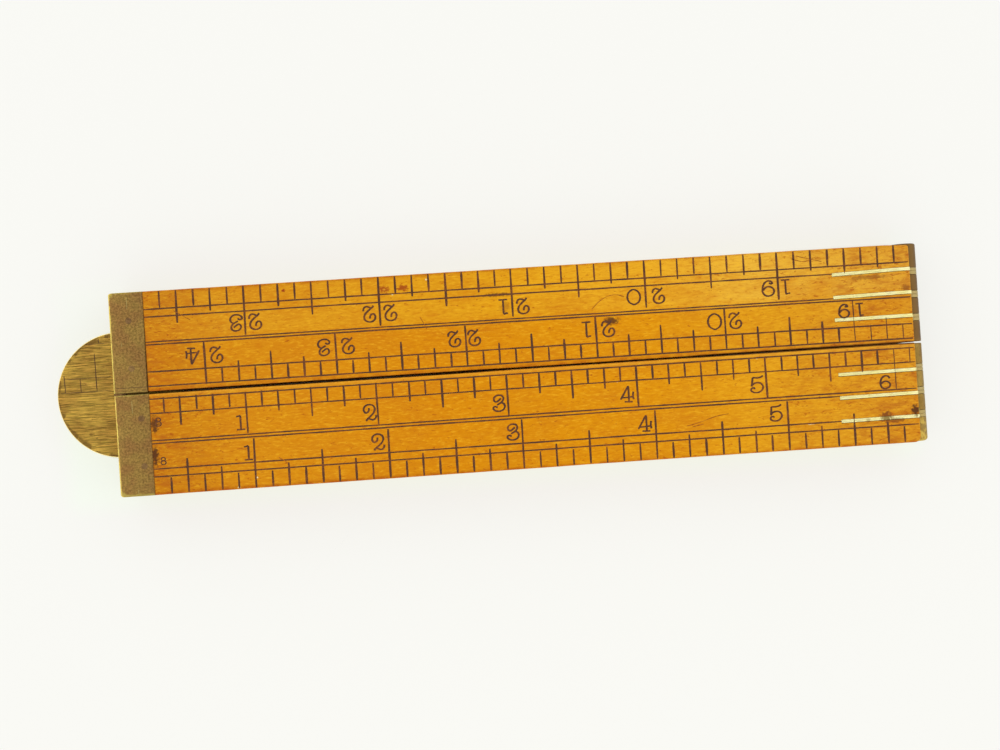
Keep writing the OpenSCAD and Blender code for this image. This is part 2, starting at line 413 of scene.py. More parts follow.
def boxwood_material():
    g = new_graph("boxwood")
    here = g.place()
    x, y, z = g.split(here)
    along = g.node("MapRange", {0: x, 1: WOOD_START, 2: WOOD_END})
    deep, pale = [g.ramp(along, [(place, tone(*colour)) for place, *colour in stops])
                  for stops in (DEEP_WOOD, PALE_WOOD)]
    colour = g.mix(g.remap(y, 8.0, 11.5), deep, pale)
    cloud = g.noise(here, (0.09, 0.2, 0.3), 5.0, 0.65)
    colour = g.tint(colour, (206, 126, 12), cloud, 0.42, 0.7, 0.5)
    colour = g.scaled(colour, g.remap(cloud, 0.3, 0.7, 1.04, 0.97))
    mottle = g.noise(here, (0.5, 1.7, 1.7), 5.0, 0.72, offset=11.0, distortion=0.5)
    fine = g.noise(here, (0.9, 3.4, 3.4), 3.0, 0.6, offset=13.0)
    shade = g.plus(g.times(mottle, 0.5), g.times(fine, 0.5))
    colour = g.tint(colour, (190, 108, 4), shade, 0.5, 0.64, 0.45)
    colour = g.tint(colour, (240, 184, 40), shade, 0.5, 0.36, 0.42)
    grain = g.noise(here, (0.22, 3.0, 3.0), 4.0, 0.7, distortion=0.4)
    colour = g.tint(colour, (186, 100, 10), grain, 0.52, 0.72, 0.4)
    speck = g.noise(here, (0.9, 2.2, 2.2), 5.0, 0.7, offset=9.0, distortion=0.5)
    ends = g.most(g.remap(along, 0.76, 0.98), g.remap(along, 0.2, 0.02))
    speck = g.plus(speck, g.times(ends, 0.045))
    colour = g.tint(colour, (158, 72, 14), speck, 0.6, 0.67, 0.66)
    # The wood is handled and browner round the knuckle plates and the tips, and darker in a thin line right
    # beside the tips' ends
    worn = g.noise(here, (0.22, 0.6, 0.6), 6.0, 0.7, offset=17.0)
    brown = g.times(ends, g.remap(worn, 0.46, 0.66, 0.0, 0.6))
    colour = g.mix(brown, colour, tone(168, 86, 22))
    beside = g.remap(x, TIP_END + 0.2, TIP_END + 0.08)
    beside = g.times(beside, g.remap(z, KNUCKLE_Z, KNUCKLE_Z + 0.1, 0.0, 0.5))
    colour = g.mix(beside, colour, tone(88, 50, 22))
    # Along the long edges: a painted highlight on leg 1's inner edge, darker wood on leg 4's inner edge and
    # right beside the gap, and dirt along the outer edges
    middle = g.math("ABSOLUTE", y)
    ragged = g.remap(g.noise(here, 0.5, offset=3.0), 0.3, 0.7, 0.25, 1.0)
    inner_edge = g.remap(middle, INNER + 1.05, INNER + 0.05)
    outer_edge = g.remap(middle, OUTER - 0.75, OUTER - 0.02)
    # Painted highlight: leg 1's inner edge is made paler
    painted_edge_highlight = g.times(g.times(inner_edge, g.remap(y, 0.1, -0.1)), 0.35)
    colour = g.mix(painted_edge_highlight, colour, tone(228, 172, 60))
    inner_edge = g.times(inner_edge, g.remap(y, -0.1, 0.1, 0.0, 0.8))
    close = g.times(g.remap(middle, INNER + 0.25, INNER), 0.7)
    edge = g.times(g.most(inner_edge, close, outer_edge), ragged)
    colour = g.mix(g.times(edge, 0.8), colour, tone(160, 72, 6))
    # Painted shade on the walls of the gap between the top legs, lighter in the third quarter of its length
    gap_shade = g.remap(middle, INNER + 0.2, INNER + 0.08, 0.0, 0.75)
    gap_shade = g.times(gap_shade, g.remap(z, TOP - 1.6, TOP - 0.6))
    lighter_stretch = g.times(g.remap(along, 0.42, 0.5), g.remap(along, 0.76, 0.68))
    gap_shade = g.times(gap_shade, g.remap(lighter_stretch, 0.0, 1.0, 1.0, 0.25))
    colour = g.mix(gap_shade, colour, tone(52, 24, 10))
    relief = g.plus(grain, g.noise(here, 2.0, offset=7.0))
    return g.finish(
        Base_Color=stained(g, here, colour, STAINS + PLATE_STAINS),
        Roughness=g.remap(cloud, 0.3, 0.7, 0.4, 0.52),
        Normal=g.bump(relief, 0.35),
        Specular_IOR_Level=0.08,
    )


def ink_material():
    """Ink in the cut lines, worn thin in places."""
    g = new_graph("line_ink")
    here = g.place()
    fine = g.noise(here, 3.0, 2.0, offset=4.0)
    worn = g.plus(g.times(g.noise(here, (0.35, 0.35, 0.5), 4.0, 0.65), 0.6), g.times(fine, 0.4))
    return g.finish(
        Base_Color=g.tint(tone(78, 46, 26), (130, 72, 24), worn, 0.45, 0.68),
        Roughness=g.remap(fine, 0.3, 0.7, 0.6, 0.8),
        Specular_IOR_Level=0.3,
    )


def scuff_material():
    """Old scratches in the varnish, with brown dirt in them."""
    g = new_graph("varnish_scratch")
    patch = g.noise(g.place(), 1.2, 4.0)
    colour = g.tint(tone(130, 66, 16), (168, 96, 20), patch, 0.4, 0.6)
    return g.finish(Base_Color=colour, Roughness=0.6, Specular_IOR_Level=0.2)


def brass_material(name, clean, dull, dirt, stretch, levels, roughness, overlays=(), metallic=1.0):
    """Brass with brush lines along one axis, dull patches and dirt; each overlay lays on more colour: wear,
    stains, painted highlights and painted shade.
    """
    g = new_graph(name)
    here = g.place()
    colour = g.tint(tone(*clean), dull, g.noise(here, 0.22, 5.0, 0.6, offset=2.0), 0.38, 0.64)
    brush = g.noise(here, stretch, 3.0, 0.6)
    colour = g.scaled(colour, g.remap(brush, 0.3, 0.7, *levels))
    colour = g.tint(colour, dirt, g.noise(here, 1.3, 4.0, offset=6.0), 0.6, 0.74, 0.6)
    # The overlays lay on wear, stains, painted highlights and painted shade
    for wear in overlays:
        mask, other = wear(g, here)
        colour = g.mix(mask, colour, tone(*other))
    return g.finish(
        Base_Color=colour,
        Metallic=metallic,
        Roughness=g.remap(brush, 0.3, 0.7, *roughness),
        Normal=g.bump(brush, 0.5),
    )


def tip_rub(g, here):
    """Painted highlights on the folded end, the corners and the long edges of a tip."""
    x, y, z = g.split(here)
    ragged = g.remap(g.noise(here, 0.9, 4.0), 0.3, 0.7, -0.12, 0.12)
    end = g.remap(g.plus(x, ragged), PIVOT.x + 0.32, PIVOT.x + 0.16)
    half = (LEG_Z[4][1] - LEG_Z[4][0]) / 2
    height = g.math("ABSOLUTE", g.math("SUBTRACT", z, LEG_Z[4][0] + half))
    end = g.times(end, g.remap(height, half - 0.75, half - 0.35))
    middle = g.math("ABSOLUTE", y)
    inner = g.remap(g.plus(middle, ragged), INNER + 0.3, INNER + 0.12, 0.0, 0.8)
    inner = g.times(inner, g.remap(y, 0.05, -0.05, 0.25, 1.0))
    outer = g.remap(g.plus(middle, ragged), OUTER - 0.25, OUTER - 0.05, 0.0, 0.7)
    from_corner = g.math("SUBTRACT", g.plus(middle, g.times(ragged, 2.0)), x)
    corner = g.remap(from_corner, OUTER - PIVOT.x - 1.5, OUTER - PIVOT.x - 0.9, 0.0, 0.8)
    return g.most(end, corner, inner, outer), (212, 190, 98)


def tip_line(g, here):
    """Painted shade where the two tips face each other across the gap, and a dark line along the end of a
    tip's sheet, next to the wood.
    """
    x, y, z = g.split(here)
    gap_shade = g.remap(g.math("ABSOLUTE", y), INNER + 0.12, INNER + 0.04, 0.0, 0.7)
    skewed = g.times(g.remap(y, OUTER, 0.0, 0.0, 0.16), g.remap(y, -0.05, 0.05))
    end = g.remap(g.plus(x, skewed), TIP_END - 0.14, TIP_END - 0.04, 0.0, 0.6)
    return g.most(gap_shade, end), (64, 44, 26)


def plate_rub(g, here):
    """Painted shade on the plates' eyes on the roll and at the roll's middle height, and a few stains that
    run over the blades.
    """
    x, y, z = g.split(here)
    ragged = g.remap(g.noise(here, 1.5, 4.0), 0.3, 0.7, -0.15, 0.15)
    eye = g.remap(g.plus(x, ragged), KNUCKLE_X - 0.25, KNUCKLE_X + 0.05)
    below = g.remap(z, KNUCKLE_Z + 2.4, KNUCKLE_Z + 1.2)
    above = g.remap(z, KNUCKLE_Z - 2.4, KNUCKLE_Z - 1.2)
    # Painted shade: the eyes, where the plates turn down round the roll, are darkened
    dull = g.times(g.most(eye, g.times(below, above)), 0.85)
    stain = stained(g, here, BLACK, [(WHITE, places) for _, places in PLATE_STAINS])
    return g.most(dull, stain), (140, 112, 44)


def roll_rub(g, here):
    """The roll on legs 3 and 4 is darker than the other."""
    x, y, z = g.split(here)
    return g.remap(y, -1.0, 1.0, 0.0, 0.8), (104, 76, 46)


def roll_end(g, here):
    """The outer end of the roll of legs 1 and 2 is worn yellow."""
    x, y, z = g.split(here)
    patch = g.remap(g.noise(here, (1.2, 0.7, 1.2), 4.0), 0.42, 0.6)
    worn = g.times(g.remap(y, -12.5, -17.5, 0.0, 0.6), patch)
    return g.most(worn, g.remap(y, -OUTER + 0.5, -OUTER + 0.1, 0.0, 0.8)), (212, 184, 84)


def roll_spot(g, here):
    """A painted highlight in a small spot on top of the roll of legs 1 and 2."""
    wobble = g.remap(g.noise(here, 2.0), 0.3, 0.7, -0.2, 0.2)
    centre = (KNUCKLE_X + 0.35, -13.5, KNUCKLE_Z + ROLL_R)
    return g.spot(here, centre, (0.3, 0.4, 0.6), wobble), (250, 232, 92)


def over_head(g, here):
    """A place seen from the pivot, in plan, and its distance."""
    x, y, z = g.split(g.vector("SUBTRACT", here, (PIVOT.x, PIVOT.y, 0.0)))
    flat = g.node("CombineXYZ", {0: x, 1: y, 2: 0.0})
    return flat, g.length(flat)


def head_rub(g, here):
    """Painted shadow in patches just inside the head's rim, dark brush lines, and a few dark spots."""
    flat, distance = over_head(g, here)
    ragged = g.remap(g.noise(flat, 0.35, 5.0), 0.35, 0.65, -0.6, 0.5)
    # Painted shadow in patches just inside the rim
    rim = g.remap(g.plus(distance, ragged), HEAD_R - 0.75, HEAD_R - 0.3)
    dashes = g.remap(g.noise(here, (0.3, 6.0, 6.0), 3.0, 0.65, offset=21.0), 0.59, 0.66)
    face = g.remap(distance, HEAD_R - 0.1, HEAD_R - 0.22)
    mask = g.most(g.times(rim, face), g.times(dashes, face))
    wobble = g.remap(g.noise(here, 1.7, 4.0), 0.25, 0.75, -0.4, 0.4)
    for from_pivot, across, long, wide in ((-0.6, 11.9, 0.9, 0.45), (-5.2, -8.2, 0.4, 0.2),
                                           (-6.3, -7.4, 0.6, 0.25)):
        centre = (PIVOT.x + from_pivot, across, HEAD_TOP)
        mask = g.most(mask, g.spot(here, centre, (long, wide, 1.0), wobble))
    return g.times(mask, 0.62), (108, 76, 44)


def head_shine(g, here):
    """Bright yellow brush lines on the head."""
    lines = g.noise(here, (0.3, 7.5, 7.5), 3.0, 0.6, offset=27.0)
    return g.remap(lines, 0.57, 0.68, 0.0, 0.6), (236, 206, 84)


def rim_rub(g, here):
    """The very edge of the head is worn bright."""
    flat, distance = over_head(g, here)
    return g.remap(distance, HEAD_R - 0.2, HEAD_R - 0.08, 0.0, 0.75), (240, 226, 160)


boxwood = boxwood_material()
ink = ink_material()
scuff = scuff_material()
scribe = brass_material("scribed_line", (96, 70, 40), (80, 56, 34), (60, 40, 26),
    1.0, (0.9, 1.1), (0.5, 0.6), metallic=0.4)
scratch = brass_material("bright_scratch", (214, 190, 118), (196, 170, 104), (150, 120, 76),
    1.0, (0.9, 1.1), (0.4, 0.5))
tip_brass = brass_material("aged_tip_brass", (180, 146, 78), (172, 130, 74), (140, 98, 60),
    (2.6, 2.6, 3.0), (0.8, 1.18), (0.42, 0.55), (tip_rub, tip_line))
head_brass = brass_material("brushed_head_brass", (222, 180, 82), (206, 160, 74), (160, 110, 62),
    (0.36, 9.0, 9.0), (0.48, 1.4), (0.34, 0.5), (head_shine, head_rub, rim_rub))
# The plates' filed brass is much paler than the other brass: a painted reflection of the bright tent on
# their tops
plate_brass = brass_material("filed_plate_brass_painted_sheen", (255, 250, 186), (250, 240, 158), (206, 182, 92),
    (0.5, 9.0, 9.0), (0.8, 1.12), (0.35, 0.5), (plate_rub,), metallic=0.42)
roll_brass = brass_material("dull_roll_brass", (150, 124, 62), (136, 108, 52), (100, 70, 40),
    (3.0, 1.4, 3.0), (0.78, 1.16), (0.45, 0.6), (roll_rub, roll_end, roll_spot))
pin_metal = brass_material("pin_metal", (164, 130, 82), (140, 106, 70), (90, 64, 44),
    2.5, (0.85, 1.1), (0.45, 0.6))
washer_steel = brass_material("washer_steel", (170, 168, 162), (150, 146, 138), (110, 84, 62),
    1.5, (0.88, 1.08), (0.35, 0.5))


# ---- the wooden legs

def rounding(distance, radius):
    """How far a rounded corner has drawn in, this far from its end."""
    if distance >= radius:
        return 0.0
    return radius - math.sqrt(max(radius * radius - (radius - distance) ** 2, 0.0))


def wander(*where):
    """Smooth noise, about -0.5 to 0.5."""
    return noise.noise(Vector(where))


def ease(low, high, value):
    part = min(max((value - low) / (high - low), 0.0), 1.0)
    return part * part * (3 - 2 * part)


CORNER_R = {1: 1.15, 2: 0.9, 3: 0.9, 4: 0.45}
# The lower legs' inner edges almost touch, so that no light comes up through the gap
LOWER_SWELL = 0.14
# The top legs' inner edges close in towards the knuckles, most at their lower corners, and open up
# towards the tips
CLOSING = 0.09
LOW_CLOSING = 0.165
OPENING = 0.06
# The worn wood is this much wider than in CAD, before its sway
OUTER_SWELL = 0.05
END_ROUNDING = 0.12
EDGE_R = 0.22
# Length of flat kept beside each rounded corner, so that it shades well
SUPPORT = 0.25


def sway(leg, x):
    """How far a worn top leg and its long lines bow outwards, this far from the pivot."""
    if leg == 1:
        return 0.22 - 0.0027 * min(x, 100)
    if leg == 4:
        return -0.3 * (x / 150) ** 2
    return 0.0


def worn_edge(leg, x):
    """Distance of a leg's outer edge from the rule's middle line, at x."""
    edge = OUTER + OUTER_SWELL + sway(leg, x - PIVOT.x)
    if leg == 4:
        edge -= 0.2 * ease(5.5, 0.5, WOOD_END - x)
    return edge


def leg_section(leg, x):
    """Points round a leg's section at x, with four worn corners."""
    low, high = LEG_Z[leg]
    squeeze = rounding(min(WOOD_END - x, x - WOOD_START), END_ROUNDING)
    closing = ease(PIVOT.x + 105, PIVOT.x + 150, x)
    opening = ease(PIVOT.x + 86, PIVOT.x + 68, x)
    swell = CLOSING * closing - OPENING * opening if leg in TOP_LEGS else LOWER_SWELL
    inner = INNER - swell + squeeze + 0.025 * wander(x * 0.07, leg, 1.5)
    inner_low = min(inner, INNER - LOW_CLOSING * closing) if leg in TOP_LEGS else inner
    outer = worn_edge(leg, x) - squeeze - rounding(WOOD_END - x, CORNER_R[leg])
    outer -= 0.04 * abs(wander(x * 0.11, leg, 4.5))
    low += squeeze
    high -= squeeze
    ring = []
    for k, (y, z) in enumerate(((inner_low, low), (outer, low), (outer, high), (inner, high))):
        dent = max(wander(x * 1.1, 20.0 * leg, k) - 0.28, 0.0)
        radius = EDGE_R + 0.12 * wander(x * 0.3, 10.0 * leg, k) + 0.3 * dent
        middle_y = y + radius if k in (0, 3) else y - radius
        middle_z = z + radius if k in (0, 1) else z - radius
        start = 180 + 90 * k
        arc = circle(middle_y, middle_z, radius, 6, start, 90.0)
        first = math.radians(start)
        last = math.radians(start + 90)
        before = (arc[0][0] + SUPPORT * math.sin(first), arc[0][1] - SUPPORT * math.cos(first))
        after = (arc[-1][0] - SUPPORT * math.sin(last), arc[-1][1] + SUPPORT * math.cos(last))
        ring += [before, *arc, after]
    return [(x, SIDE[leg] * y, z) for y, z in ring]


def leg_stations():
    """Places along a leg where its section is drawn, closer together at the ends."""
    edges = [0.0, 0.015, 0.04, 0.08, 0.12, 0.2, 0.3, 0.42, 0.56, 0.72, 0.9, 1.15]
    body = WOOD_END - WOOD_START - 2 * edges[-1]
    steps = round(body / 0.5)
    middle = [WOOD_START + edges[-1] + body * i / steps for i in range(1, steps)]
    return [WOOD_START + d for d in edges] + middle + [WOOD_END - d for d in reversed(edges)]


def plate_places(leg):
    """Middle of each knuckle plate across the rule, from the innermost outwards."""
    return [centre_of(f"leg_{leg}_plate_{i}").y for i in (1, 2, 3)]


def lean(leg, i, x):
    """Sideways shift of plate i at x: the plates aren't quite parallel to the leg."""
    if leg not in PLATE_LEAN:
        return 0.0
    return PLATE_LEAN[leg][i] * min(x - KNUCKLE_X + ROLL_R, 0.0)


def kerf_cutter(leg, i, place):
    """The slot of one plate, a little wider on one side than on the other."""
    stations = (KNUCKLE_X - PLATE_LENGTH - KERF, KNUCKLE_X - ROLL_R, KNUCKLE_X + PAST)
    low_side = [(x, place - PLATE_HALF - WIDE_KERF + lean(leg, i, x)) for x in stations]
    high_side = [(x, place + PLATE_HALF + KERF + lean(leg, i, x)) for x in reversed(stations)]
    return prism(low_side + high_side, LEG_Z[leg][0] - PAST, LEG_Z[leg][1] + PAST)


def tip_block(x, y_range, low, high):
    """A block from past the pivot to x."""
    start = PIVOT.x - PAST
    near, far = y_range
    return prism([(start, near), (x, near), (x, far), (start, far)], low, high)


def tang_outline(side, grow=0.0):
    half = TANG_W / 2 + grow
    start = PIVOT.x + TANG_START
    arc = circle(PIVOT.x + TANG_END - TANG_W / 2, TANG_Y, half, 24, -90.0, 180.0)
    return [(x, side * y) for x, y in ((start, TANG_Y - half), *arc, (start, TANG_Y + half))]


def cross_pin_holes(leg, y_range):
    middle = sum(LEG_Z[leg]) / 2
    return [rod_y(KNUCKLE_X - x, middle, CROSS_PIN_R + FIT, *y_range, HOLE_STEPS) for x in CROSS_PIN_X]


def head_pin_holes(side, low, high):
    return [rod_z(PIVOT.x + x, side * TANG_Y, HEAD_PIN_R + FIT, low - PAST, high + PAST, HOLE_STEPS)
            for x in HEAD_PIN_X]


def tip_pin_holes(leg, count):
    low, high = span(f"leg_{leg}_tip")
    x = low.x + TIP_PIN_X[leg]
    return [rod_z(x, SIDE[leg] * (INNER + y), TIP_PIN_R + FIT, low.z - PAST, high.z + PAST, count)
            for y in TIP_PIN_Y]


def leg_cutters(leg):
    """Groups of solids that shape a leg: ends and recess, then slots, then pin holes."""
    side = SIDE[leg]
    low, high = LEG_Z[leg]
    under = low - PAST
    over = high + PAST
    y_range = sorted((-side * PAST, side * (OUTER + PAST)))
    ends = [rod_y(KNUCKLE_X, KNUCKLE_Z, ROLL_R + RELIEF, *y_range, ROLL_STEPS)]
    slots = [kerf_cutter(leg, i, y) for i, y in enumerate(plate_places(leg))]
    holes = cross_pin_holes(leg, y_range)
    if leg in TOP_LEGS:
        tip_low, tip_high = span(f"leg_{leg}_tip")
        ends.append(tip_block(tip_low.x + TIP_SHEET, y_range, under, over))
        slots.append(tip_block(tip_high.x, y_range, high - TIP_SHEET, over))
        slots.append(tip_block(tip_high.x, y_range, under, low + TIP_SHEET))
        holes += tip_pin_holes(leg, HOLE_STEPS)
    else:
        ends.append(rod_z(PIVOT.x, PIVOT.y, HEAD_R + RELIEF, under, over, RECESS_STEPS))
        tangs = [(TONGUE_Z, TONGUE_T)]
        if leg == 3:
            tangs = [(CHEEK_T - TANG_T, TANG_T), (high - CHEEK_T, TANG_T)]
        outline = tang_outline(side, KERF)
        slots += [prism(outline, z - KERF, z + thick + KERF) for z, thick in tangs]
        holes += head_pin_holes(side, low, high)
    return ends, slots, holes


for leg in SIDE:
    wood = make_mesh(f"leg_{leg}_wood", *loft([leg_section(leg, x) for x in leg_stations()]))
    cut(wood, *leg_cutters(leg))
    finish_piece(wood, f"leg_{leg}", "boxwood", boxwood, f"leg_{leg}")


# ---- brass tips

def tip_profile(low, high, wear, setback):
    """Outline of a tip from the side: a strip folded over the end of the wood."""
    x0, z0, x1, z1 = low.x + setback, low.z, high.x, high.z
    r = TIP_FOLD_R
    inside = TIP_SHEET
    return [
        (x1, z1), (x0 + 2.0, z1), (x0 + r + 0.2, z1), *circle(x0 + r, z1 - r, r - wear, 8, 90.0, 90.0),
        (x0 + wear, z1 - r - 0.2), (x0 + wear, z0 + r + 0.2),
        *circle(x0 + r, z0 + r, r - wear, 8, 180.0, 90.0), (x0 + r + 0.2, z0), (x0 + 2.0, z0), (x1, z0),
        (x1, z0 + inside), (x0 + inside, z0 + inside), (x0 + inside, z1 - inside), (x1, z1 - inside),
    ]


# The tips are a little longer than in CAD, and stop short of the pivot's plane, where they meet
TIP_GROWTH = 0.15
TIP_STOP = PIVOT.x + 0.01
# How far leg 4's tip is out of square
TIP_SKEW = 0.16


def brass_tip(leg):
    low, high = span(f"leg_{leg}_tip")
    outer = OUTER + OUTER_SWELL + sway(leg, high.x - PIVOT.x)
    body = outer - INNER - TIP_CORNER_R
    rows = 48
    corner = [0.0, 0.02, 0.07, 0.15, 0.25, 0.38, TIP_CORNER_R]
    rings = []
    for from_outer in corner + [TIP_CORNER_R + body * i / rows for i in range(1, rows + 1)]:
        y = SIDE[leg] * (outer - from_outer)
        wear = 0.05 * max(wander(y * 0.6, leg, 2.0) + 0.1, 0.0)
        setback = rounding(from_outer, TIP_CORNER_R) - TIP_GROWTH
        skew = -TIP_SKEW * from_outer / outer if leg == 4 else 0.0
        rings.append([(max(x + skew, TIP_STOP), y, z) for x, z in tip_profile(low, high, wear, setback)])
    piece = make_mesh(f"leg_{leg}_tip_brass", *loft(rings))
    bevel(piece, TIP_EDGE, 40)
    cut(piece, tip_pin_holes(leg, 40))
    finish_piece(piece, f"leg_{leg}", "tip_brass", tip_brass, f"leg_{leg}_tip")


for leg in TOP_LEGS:
    brass_tip(leg)


# ---- head cheeks

def lathe_disc(radius, bore, low, high, edge):
    """A disc with a bore and rounded rims, as a ring of sections round the pivot."""
    rim = radius - edge
    profile = [(bore, low), (radius - 2.0, low), (rim - 0.3, low),
               *circle(rim, low + edge, edge, 5, 270.0, 90.0), *circle(rim, high - edge, edge, 5, 0.0, 90.0),
               (rim - 0.3, high), (radius - 2.0, high), (bore, high)]
    angles = [math.tau * t / DISC_STEPS for t in range(DISC_STEPS)]
    return skin([[(PIVOT.x + r * math.cos(a), PIVOT.y + r * math.sin(a), z) for r, z in profile]
                 for a in angles], closed=True)


def head_cheek(name, inward):
    """A cheek of the head, with the tang that holds it in leg 3. inward is 1 where its inner face is up."""
    low, high = span(name)
    disc = lathe_disc(HEAD_R, RIVET_R + FIT, low.z, high.z, CHEEK_EDGE)
    inner_z = high.z if inward > 0 else low.z
    tang = sorted((inner_z - inward * FIT, inner_z - inward * TANG_T))
    piece = make_mesh(f"{name}_brass", *joined([disc, prism(tang_outline(1), *tang)]))
    cut(piece, head_pin_holes(1, *tang))
    finish_piece(piece, "leg_3", "head_brass", head_brass, name)


head_cheek("head_cheek_top", -1)
head_cheek("head_cheek_bottom", 1)


# ---- knuckle plates

def plate_outline():
    """Outline of a top leg's plate from the side: a blade with a round eye on the hinge."""
    low, high = LEG_Z[4]
    start = KNUCKLE_X - PLATE_LENGTH
    far = KNUCKLE_X - 8.0
    near = KNUCKLE_X - 3.2
    eye = circle(KNUCKLE_X, KNUCKLE_Z, ROLL_R, 40, 90.0, -270.0)
    return [(start, low), (start, high), (far, high), (near, high), (KNUCKLE_X, high), *eye,
            (KNUCKLE_X - ROLL_R, low), (near, low), (far, low)]


def knuckle_plate(leg, i, place):
    name = f"leg_{leg}_plate_{i + 1}"
    outline = plate_outline()
    if leg not in TOP_LEGS:
        outline = [(x, 2 * KNUCKLE_Z - z) for x, z in outline]
    rings = [[(x, y + lean(leg, i, x), z) for x, z in outline]
             for y in (place - PLATE_HALF, place + PLATE_HALF)]
    piece = make_mesh(f"{name}_brass", *loft(rings))
    bevel(piece, PLATE_EDGE, 50)
    play = RUN if leg in TOP_LEGS else FIT
    y_range = (place - 2 * PAST, place + 2 * PAST)
    hinge_hole = rod_y(KNUCKLE_X, KNUCKLE_Z, HINGE_PIN_R + play, *y_range, PIN_STEPS)
    cut(piece, [hinge_hole, *cross_pin_holes(leg, y_range)])
    finish_piece(piece, f"leg_{leg}", "plate_brass", plate_brass, name)


for leg in SIDE:
    for i, place in enumerate(plate_places(leg)):
        knuckle_plate(leg, i, place)


# ---- outer barrels and cross pins

def outer_barrel(name, leg, rounded):
    """The barrel at the outer end of a roll, with its worn edge rounded."""
    side = SIDE[leg]
    low, high = span(name)
    inner_y, outer_y = sorted((low.y, high.y), key=abs)
    bore = HINGE_PIN_R + RUN
    profile = [(bore, inner_y), (ROLL_R - BARREL_EDGE, inner_y), (ROLL_R, inner_y + side * BARREL_EDGE)]
    for r, along in circle(ROLL_R - rounded, 0.0, rounded, 7, 0.0, 90.0):
        profile.append((r, outer_y - side * (rounded - along)))
    profile.append((bore, outer_y))
    rings = [[(x, y, z) for x, z in circle(KNUCKLE_X, KNUCKLE_Z, r, ROLL_STEPS)] for r, y in profile]
    piece = make_mesh(f"{name}_brass", *skin(rings, closed=True))
    finish_piece(piece, f"leg_{leg}", "roll_brass", roll_brass, name)


outer_barrel("knuckle_a_barrel_4", 1, 0.7)
outer_barrel("knuckle_b_barrel_4", 4, 0.35)


# The pins' ends lie this far inside the leg's edge
PIN_SINK = 0.07


def flush_cross_pins(leg):
    """The cross pins of a top leg, filed off level with its worn outer edge."""
    name = f"leg_{leg}_cross_pins"
    low, high = span(name)
    rods = []
    for x in CROSS_PIN_X:
        ends = sorted((SIDE[leg] * INNER, SIDE[leg] * (worn_edge(leg, KNUCKLE_X - x) - PIN_SINK)))
        rods.append(rod_y(KNUCKLE_X - x, (low.z + high.z) / 2, CROSS_PIN_R, *ends, PIN_STEPS))
    finish_piece(make_mesh(f"{name}_metal", *joined(rods)), f"leg_{leg}", "pin_metal", pin_metal, name)


for leg in TOP_LEGS:
    flush_cross_pins(leg)


# ---- CAD nodes with their own shape

def repaint(material, *names):
    for name in names:
        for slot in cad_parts[name].material_slots:
            slot.material = material


repaint(roll_brass, *[f"knuckle_{k}_barrel_{i}" for k in "ab" for i in (1, 2, 3)])
repaint(head_brass, "head_tongue")
repaint(washer_steel, "head_washer_top", "head_washer_bottom")
repaint(pin_metal, "head_rivet", "leg_2_head_pins", "leg_3_head_pins", "knuckle_a_pin", "knuckle_b_pin",
        "leg_1_tip_pins", "leg_4_tip_pins", "leg_2_cross_pins", "leg_3_cross_pins")


# ---- lines, divisions and numerals

# Marks stand a little proud of their face, at six heights where they cross, and reach into it
PROUD = 0.012
PROUD_STEP = 0.0006
SUNK = 0.05
# Twice the most that a line wavers
WAVER = 0.024


def heading(path, i):
    """The step from the point before one of a path's points to the point after it."""
    ahead = path[min(i + 1, len(path) - 1)]
    behind = path[max(i - 1, 0)]
    return ahead[0] - behind[0], ahead[1] - behind[1]


class Marks:
    """Thin closed ribbons on a flat face; out is 1 on an upper face and -1 on a lower one."""

    def __init__(self, z, out):
        self.z = z
        self.out = out
        self.solids = []

    def ribbon(self, path, halves, lowest=False):
        """A strip along a path of (x, y) points, with a half width at each point."""
        step = 0.0 if lowest else PROUD_STEP * (1 + (len(self.solids) + 1) % 6)
        face_z = self.z + self.out * (PROUD + step)
        back_z = self.z - self.out * SUNK
        rings = []
        for i, (x, y) in enumerate(path):
            dx, dy = heading(path, i)
            length = math.hypot(dx, dy) or 1.0
            ox = -dy / length * halves[i]
            oy = dx / length * halves[i]
            rings.append([(x + ox, y + oy, face_z), (x - ox, y - oy, face_z),
                          (x - ox, y - oy, back_z), (x + ox, y + oy, back_z)])
        self.solids.append(loft(rings))

    def line(self, start, end, width, pitch=2.0, bow=None):
        """A hand-cut line that wavers a little and whose width varies."""
        run = end[0] - start[0]
        rise = end[1] - start[1]
        length = math.hypot(run, rise)
        steps = max(3, round(length / pitch))
        seed = chance.uniform(0, 99)
        path = []
        halves = []
        for i in range(steps + 1):
            t = i / steps
            shift = WAVER * wander(seed, t * length * 0.25, 0.5)
            across = shift if abs(rise) > abs(run) else 0.0
            x = start[0] + run * t + across
            y = start[1] + rise * t + (shift - across) + (bow(x) if bow else 0.0)
            taper = 0.7 if i in (0, steps) else 1.0
            path.append((x, y))
            halves.append(width / 2 * taper * (1 + 0.3 * wander(seed, 7.5, t * length * 0.4)))
        self.ribbon(path, halves, lowest=bow is not None)

    def piece(self, name, body, slot, material):
        finish_piece(make_mesh(name, *joined(self.solids)), body, slot, material)


CURVE_STEPS = 6


def smooth_path(points):
    """A smooth curve through the points."""
    shares = [i / CURVE_STEPS for i in range(CURVE_STEPS)]
    if len(points) < 3:
        (x0, y0), (x1, y1) = points
        return [(x0 + (x1 - x0) * t, y0 + (y1 - y0) * t) for t in (*shares, 1.0)]
    ends = [points[0], *points, points[-1]]
    path = []
    for a, b, c, d in zip(ends, ends[1:], ends[2:], ends[3:]):
        for t in shares:
            path.append(tuple(
                0.5 * (2 * b[k] + (c[k] - a[k]) * t + (2 * a[k] - 5 * b[k] + 4 * c[k] - d[k]) * t * t
                       + (3 * b[k] - a[k] - 3 * c[k] + d[k]) * t ** 3)
                for k in (0, 1)
            ))
    return [*path, points[-1]]


